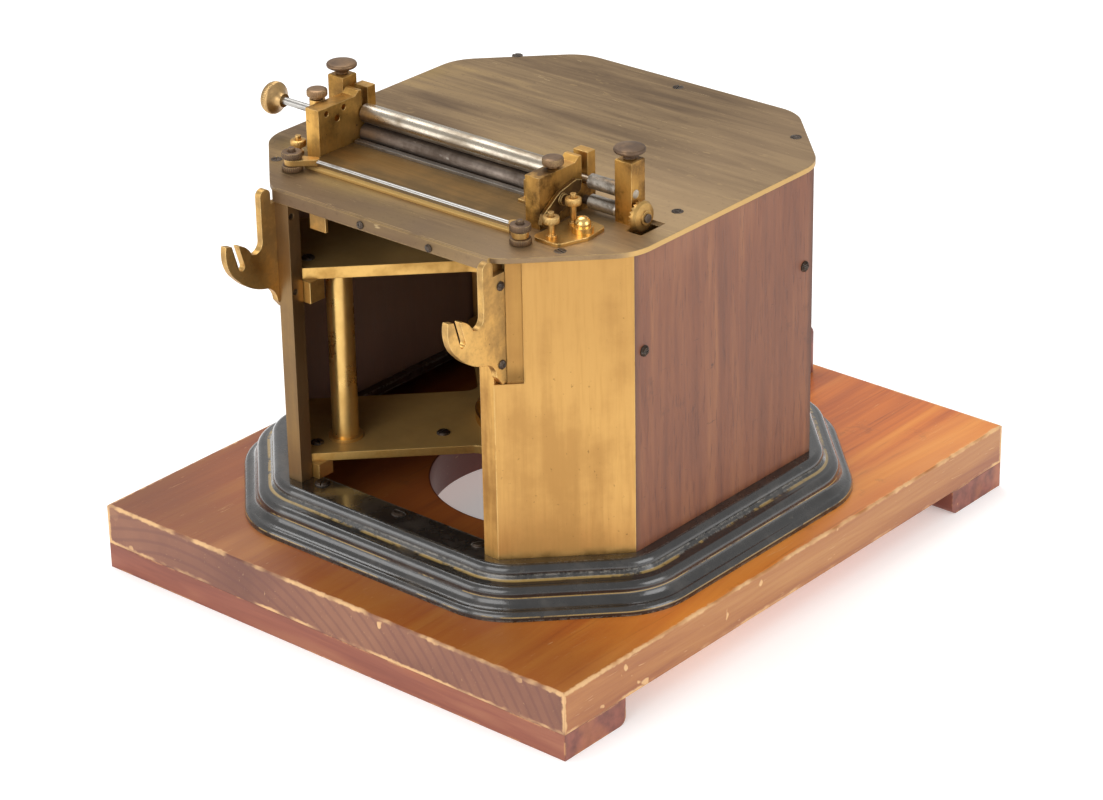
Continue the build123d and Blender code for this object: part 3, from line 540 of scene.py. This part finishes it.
def shown(name, body, finish, parts, instead):
    """One piece from (mesh, place, direction) parts, in place of the CAD node instead."""
    whole = bmesh.new()
    for work, place, direction in parts:
        aim = Vector(direction).to_track_quat("Z", "Y").to_matrix().to_4x4()
        bmesh.ops.transform(work, matrix=Matrix.Translation(place) @ aim, verts=work.verts)
        passed = bpy.data.meshes.new("passed")
        work.to_mesh(passed)
        work.free()
        whole.from_mesh(passed)
        bpy.data.meshes.remove(passed)
    mesh = bpy.data.meshes.new(name)
    whole.to_mesh(mesh)
    whole.free()
    mesh.shade_smooth()
    mesh.set_sharp_from_angle(angle=math.radians(28))
    mesh.materials.append(finish.material)
    piece = bpy.data.objects.new(name, mesh)
    bpy.context.scene.collection.objects.link(piece)
    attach(piece, body)
    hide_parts(instead)
    return piece


sleeve_steel = steel("oiled sleeve steel", srgb(196, 188, 176), srgb(128, 118, 106), 0.45, 0.34)
for name, body in (("upper_sleeve", "upper_roller_shaft"), ("lower_sleeve", "lower_roller_shaft")):
    low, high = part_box(name)
    radius = (high.z - low.z) / 2
    length = high.x - low.x
    bore = radius * 0.595
    plain_end, half_pitch, thread_depth = 0.0006, 0.00045, 0.0005
    thread = [(radius - thread_depth * (turn % 2), plain_end + turn * half_pitch)
              for turn in range(int((length - 2 * plain_end) / half_pitch) + 1)]
    outline = [(bore, 0.0), (radius - plain_end, 0.0), *thread, (radius - plain_end, length),
               (bore, length), (bore, 0.0)]
    place = (low.x, (low.y + high.y) / 2, (low.z + high.z) / 2)
    shown(f"threaded_{name}", body, sleeve_steel, [(spun(outline, 40), place, (1, 0, 0))], name)


# ---------------------------------------------------------------- crown gear
# A cupped brass wheel on the end of the lower roller's shaft. Its teeth are cut in the rim's edge,
# facing the case, and a collar outside fixes it to the shaft.
low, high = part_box("crown_gear")
radius = (high.z - low.z) / 2
teeth = 24
outline = [(0.0025, 0.0006), (0.0040, 0.0006), (0.0042, 0.0019), (radius - 0.0026, 0.0022),
           (radius - 0.0022, 0.0064), (radius - 0.0004, 0.0064), (radius, 0.0060), (radius, 0.0034),
           (radius - 0.0012, 0.0018), (0.0052, 0.0012), (0.0042, 0.0010), (0.0042, 0.0), (0.0025, 0.0),
           (0.0025, 0.0006)]
rim = spun(outline, teeth * 2, (radius - 0.0023, 0.0058, 0.0070, 0.0, 0.0016))
shown("toothed_crown_gear", "lower_roller_shaft", fitting,
      [(rim, (high.x, (low.y + high.y) / 2, (low.z + high.z) / 2), (-1, 0, 0))], "crown_gear")


# ---------------------------------------------------------------- knobs, thumb screws and nuts
# Everything that fingers turn is turned from brass bar, left to go brown, and knurled where it is
# gripped: the flat knobs on the square posts, the clamp knob, thumb screws, and rod and binding nuts.
browned_brass = brass("browned knob brass", srgb(142, 114, 86), srgb(98, 80, 66), (90, 90, 90), 0.55, 0.36,
                      rub=0.7, pits=0.3, radius=0.0006)
browned_brass.on("left_flat_knob", "right_flat_knob")
handled = brass("handled knob brass", srgb(184, 150, 102), srgb(126, 104, 78), (90, 90, 90), 0.5, 0.34,
                rub=0.75, pits=0.3, radius=0.0006)

low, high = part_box("side_knob")
radius = (high.z - low.z) / 2
depth = high.x - low.x
bell = [(0.0, depth), (0.0030, depth), (0.0052, depth - 0.0003), (0.0074, depth - 0.0009),
        (0.0088, depth - 0.0016), (radius - 0.0002, depth - 0.0028), (radius, depth - 0.0040),
        (radius, depth - 0.0052), (radius - 0.0004, depth - 0.0062), (radius - 0.0012, 0.0054),
        (0.0068, 0.0044), (0.0054, 0.0030), (0.0045, 0.0018), (0.0041, 0.0006), (0.0040, 0.0), (0.00225, 0.0)]
knurled = spun(bell, 96, (radius - 0.0006, 0.0, depth - 0.0020, 0.00035, 0.0))
shown("knurled_side_knob", "side_clamp_knob", handled,
      [(knurled, (high.x, (low.y + high.y) / 2, (low.z + high.z) / 2), (-1, 0, 0))], "side_knob")

for name in ("left_thumb_screw", "right_thumb_screw"):
    low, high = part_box(name)
    radius = (high.x - low.x) / 2
    length = high.z - low.z
    head = length - 0.0044
    outline = [(0.0, 0.0), (0.0020, 0.0), (0.0020, head - 0.0015), (0.0034, head - 0.0015),
               (0.0034, head - 0.0003), (0.0041, head), (radius - 0.0006, head),
               (radius - 0.0002, head + 0.0003), (radius, head + 0.0008), (radius, length - 0.0012),
               (radius - 0.0003, length - 0.0006), (radius - 0.0009, length - 0.0002),
               (radius - 0.0020, length), (0.0022, length - 0.0001), (0.0, length)]
    knurled = spun(outline, 72, (radius - 0.0001, head + 0.0006, length - 0.0010, 0.00032, 0.0))
    shown(f"knurled_{name}", f"{name}_body", browned_brass,
          [(knurled, ((low.x + high.x) / 2, (low.y + high.y) / 2, low.z), (0, 0, 1))], name)


def knurled_nut(radius, bore, height):
    """A round nut with a fine knurl between two plain lips."""
    outline = [(bore, 0.0), (radius - 0.0010, 0.0), (radius - 0.0003, 0.0003), (radius, 0.0008),
               (radius, height - 0.0008), (radius - 0.0003, height - 0.0003), (radius - 0.0010, height),
               (bore + 0.0008, height), (bore, height - 0.0006), (bore, 0.0)]
    return spun(outline, 64, (radius - 0.0001, 0.0006, height - 0.0006, 0.0003, 0.0))


nut_finishes = {"left_rod_nut": browned_brass, "right_rod_nut": browned_brass, "front_binding_nut": fitting,
                "rear_binding_nut": fitting, "left_binding_nut": fitting}
for name, finish in nut_finishes.items():
    low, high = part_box(name)
    radius = (high.x - low.x) / 2
    bore = 0.00205 if "rod" in name else 0.00175
    nut = knurled_nut(radius, bore, high.z - low.z)
    middle = ((low.x + high.x) / 2, (low.y + high.y) / 2, low.z)
    shown(f"knurled_{name}", f"{name}_body", finish, [(nut, middle, (0, 0, 1))], name)

low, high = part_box("rod_studs")
collar = 0.0062
studs = []
for x, y in ((low.x + collar, low.y + collar), (high.x - collar, low.y + collar)):
    outline = [(0.0, 0.0), (collar - 0.0010, 0.0), (collar - 0.0003, 0.0003), (collar, 0.0009),
               (collar, 0.0027), (collar - 0.0003, 0.0033), (collar - 0.0010, 0.0036), (0.0020, 0.0036),
               (0.0020, high.z - low.z - 0.0004), (0.0016, high.z - low.z), (0.0, high.z - low.z)]
    stud = spun(outline, 64, (collar - 0.0001, 0.0006, 0.0030, 0.0003, 0.0))
    studs.append((stud, (x, y, low.z), (0, 0, 1)))
shown("knurled_rod_studs", "press_case", browned_brass, studs, "rod_studs")


# ---------------------------------------------------------------- release lever
# A flat brass lever pivots on a screw in the right side frame. It has gone dark brown, and is
# rubbed bright along its edges and where a finger lifts it.
lever = brass("dark lever brass", srgb(150, 116, 66), srgb(88, 66, 42), (60, 60, 60), 0.6, 0.34, rub=1.0,
              radius=0.0010)
lever.on("release_lever")


# ---------------------------------------------------------------- floor, lights and camera
# A plain white sheet to stand on, which glows faintly as a painted light that lifts its shadows and
# lights the case from below, a wide soft light overhead and towards the back, a large panel each side
# of the camera, which give the brass and the japan their long highlights, and one in front, which lights the
# plates inside the open case.
work = bmesh.new()
bmesh.ops.create_grid(work, x_segments=1, y_segments=1, size=6.0)
sheet = bpy.data.meshes.new("white sheet")
work.to_mesh(sheet)
work.free()
floor = bpy.data.objects.new("floor", sheet)
bpy.context.scene.collection.objects.link(floor)
paper = Finish("faintly glowing white sheet", Roughness=0.9)
shade = paper.mix(paper.noise(0.6, 2), (0.86, 0.86, 0.86), (0.89, 0.885, 0.88))
# Painted light: the sheet glows, which lifts the shadows on it.
paper.feed(paper.shader, {"Base Color": shade,
                          "Emission Color": (1.0, 0.99, 0.985), "Emission Strength": 0.30})
sheet.materials.append(paper.material)

world = bpy.data.worlds.new("pale room")
world.use_nodes = True
world.node_tree.nodes["Background"].inputs["Color"].default_value = (1.0, 0.995, 0.99, 1)
world.node_tree.nodes["Background"].inputs["Strength"].default_value = 0.62
bpy.context.scene.world = world

middle = Vector((0, 0, 0.14))
for name, place, size, power in (("overhead", (-0.8, 0.3, 2.2), 1.6, 27.0),
                                 ("right panel", (2.4, 0.3, 0.9), 1.4, 20.0),
                                 ("left panel", (-1.3, -2.2, 0.7), 1.2, 12.0),
                                 ("front panel", (0.3, -1.9, 0.95), 1.3, 15.0)):
    lamp = bpy.data.lights.new(name, "AREA")
    lamp.size = size
    lamp.energy = power
    light = bpy.data.objects.new(name, lamp)
    light.location = place
    light.rotation_euler = (Vector(place) - middle).to_track_quat("Z", "Y").to_euler()
    bpy.context.scene.collection.objects.link(light)

azimuth, elevation, roll = math.radians(40.770), math.radians(25.722), math.radians(-1.045)
back = Vector((math.sin(azimuth) * math.cos(elevation), -math.cos(azimuth) * math.cos(elevation),
               math.sin(elevation)))
right = Vector((math.cos(azimuth), math.sin(azimuth), 0))
up = back.cross(right)
across = right * math.cos(roll) + up * math.sin(roll)
upward = up * math.cos(roll) - right * math.sin(roll)
lens = bpy.data.cameras.new("camera")
lens.sensor_width = 36.0
lens.lens = 115.59
camera = bpy.data.objects.new("camera", lens)
turned = Matrix((across, upward, back)).transposed().to_4x4()
viewpoint = (1.22613, -1.43090, 0.99130)
camera.matrix_world = Matrix.Translation(viewpoint) @ turned
bpy.context.scene.collection.objects.link(camera)
bpy.context.scene.camera = camera
bpy.context.scene.view_settings.view_transform = "Standard"
